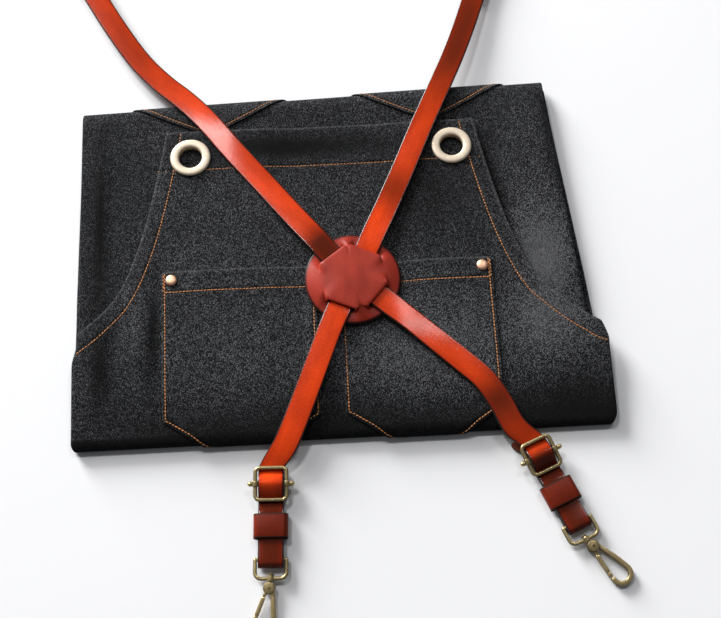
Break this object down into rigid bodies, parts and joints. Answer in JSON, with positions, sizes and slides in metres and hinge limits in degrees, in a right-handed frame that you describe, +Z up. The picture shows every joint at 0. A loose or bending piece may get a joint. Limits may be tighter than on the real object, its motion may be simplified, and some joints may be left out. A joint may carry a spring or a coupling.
{
  "type": "bib apron with cross-back harness",
  "caption": "Dark denim bib apron folded flat, with chest and hand pockets, bib eyelets and a crossed leather harness that ends in sliders and swivel snap hooks.",
  "frame": {"origin": "middle of the underside of the whole part, on the surface that it lies on", "axes": "+X across the bib to the wearer's left as it lies face up, +Y from the waist fold up the bib, +Z up from the surface"},
  "size_m": [0.4494, 0.6288, 0.0226],
  "materials": {
    "denim": "charcoal denim twill with pale flecks",
    "harness_leather": "burnished orange-red bridle leather",
    "patch_leather": "burnished red-brown leather",
    "antique_brass": "antique brass plate",
    "pale_brass": "pale satin brass",
    "copper": "pale copper"
  },
  "bodies": {
    "apron": {"apron_body": "denim", "chest_pocket_left": "denim", "chest_pocket_right": "denim", "hand_pocket_left": "denim", "hand_pocket_right": "denim", "eyelet_left": "pale_brass", "eyelet_right": "pale_brass", "pocket_rivet_left": "copper", "pocket_rivet_right": "copper", "cross_patch": "patch_leather", "strap_under": "harness_leather", "strap_over": "harness_leather", "slider_frame_left": "antique_brass", "slider_frame_right": "antique_brass", "slider_bar_left": "antique_brass", "slider_bar_right": "antique_brass", "keeper_left": "patch_leather", "keeper_right": "patch_leather", "end_hook_left": "antique_brass", "end_hook_right": "antique_brass"},
    "ring_left": {"swivel_ring_left": "antique_brass"},
    "hook_left": {"snap_hook_left": "antique_brass"},
    "gate_left": {"hook_gate_left": "antique_brass"},
    "ring_right": {"swivel_ring_right": "antique_brass"},
    "hook_right": {"snap_hook_right": "antique_brass"},
    "gate_right": {"hook_gate_right": "antique_brass"}
  },
  "joints": [
    {"name": "ring_tilt_left", "type": "hinge", "parent": "apron", "child": "ring_left", "pos_m": [-0.04351, -0.25744, 0.0045], "axis": [-0.9994, 0.0349, 0], "range_deg": [-80, 80]},
    {"name": "hook_swivel_left", "type": "hinge", "parent": "ring_left", "child": "hook_left", "pos_m": [-0.04399, -0.27144, 0.0045], "axis": [-0.1905, -0.9799, -0.0593], "continuous": true},
    {"name": "gate_lever_left", "type": "hinge", "parent": "hook_left", "child": "gate_left", "pos_m": [-0.04533, -0.2783, 0.00409], "axis": [-0.0113, -0.0582, 0.9982], "range_deg": [0, 22], "stiffness_Nm_per_rad": 0.02, "springref_deg": -17.19},
    {"name": "ring_tilt_right", "type": "hinge", "parent": "apron", "child": "ring_right", "pos_m": [0.18443, -0.24223, 0.0045], "axis": [-0.9205, -0.3907, 0], "range_deg": [-80, 80]},
    {"name": "hook_swivel_right", "type": "hinge", "parent": "ring_right", "child": "hook_right", "pos_m": [0.1899, -0.25511, 0.0045], "axis": [0.6601, -0.7488, -0.0593], "continuous": true},
    {"name": "gate_lever_right", "type": "hinge", "parent": "hook_right", "child": "gate_right", "pos_m": [0.19452, -0.26036, 0.00409], "axis": [0.0392, -0.0445, 0.9982], "range_deg": [0, 22], "stiffness_Nm_per_rad": 0.02, "springref_deg": -17.19}
  ]
}
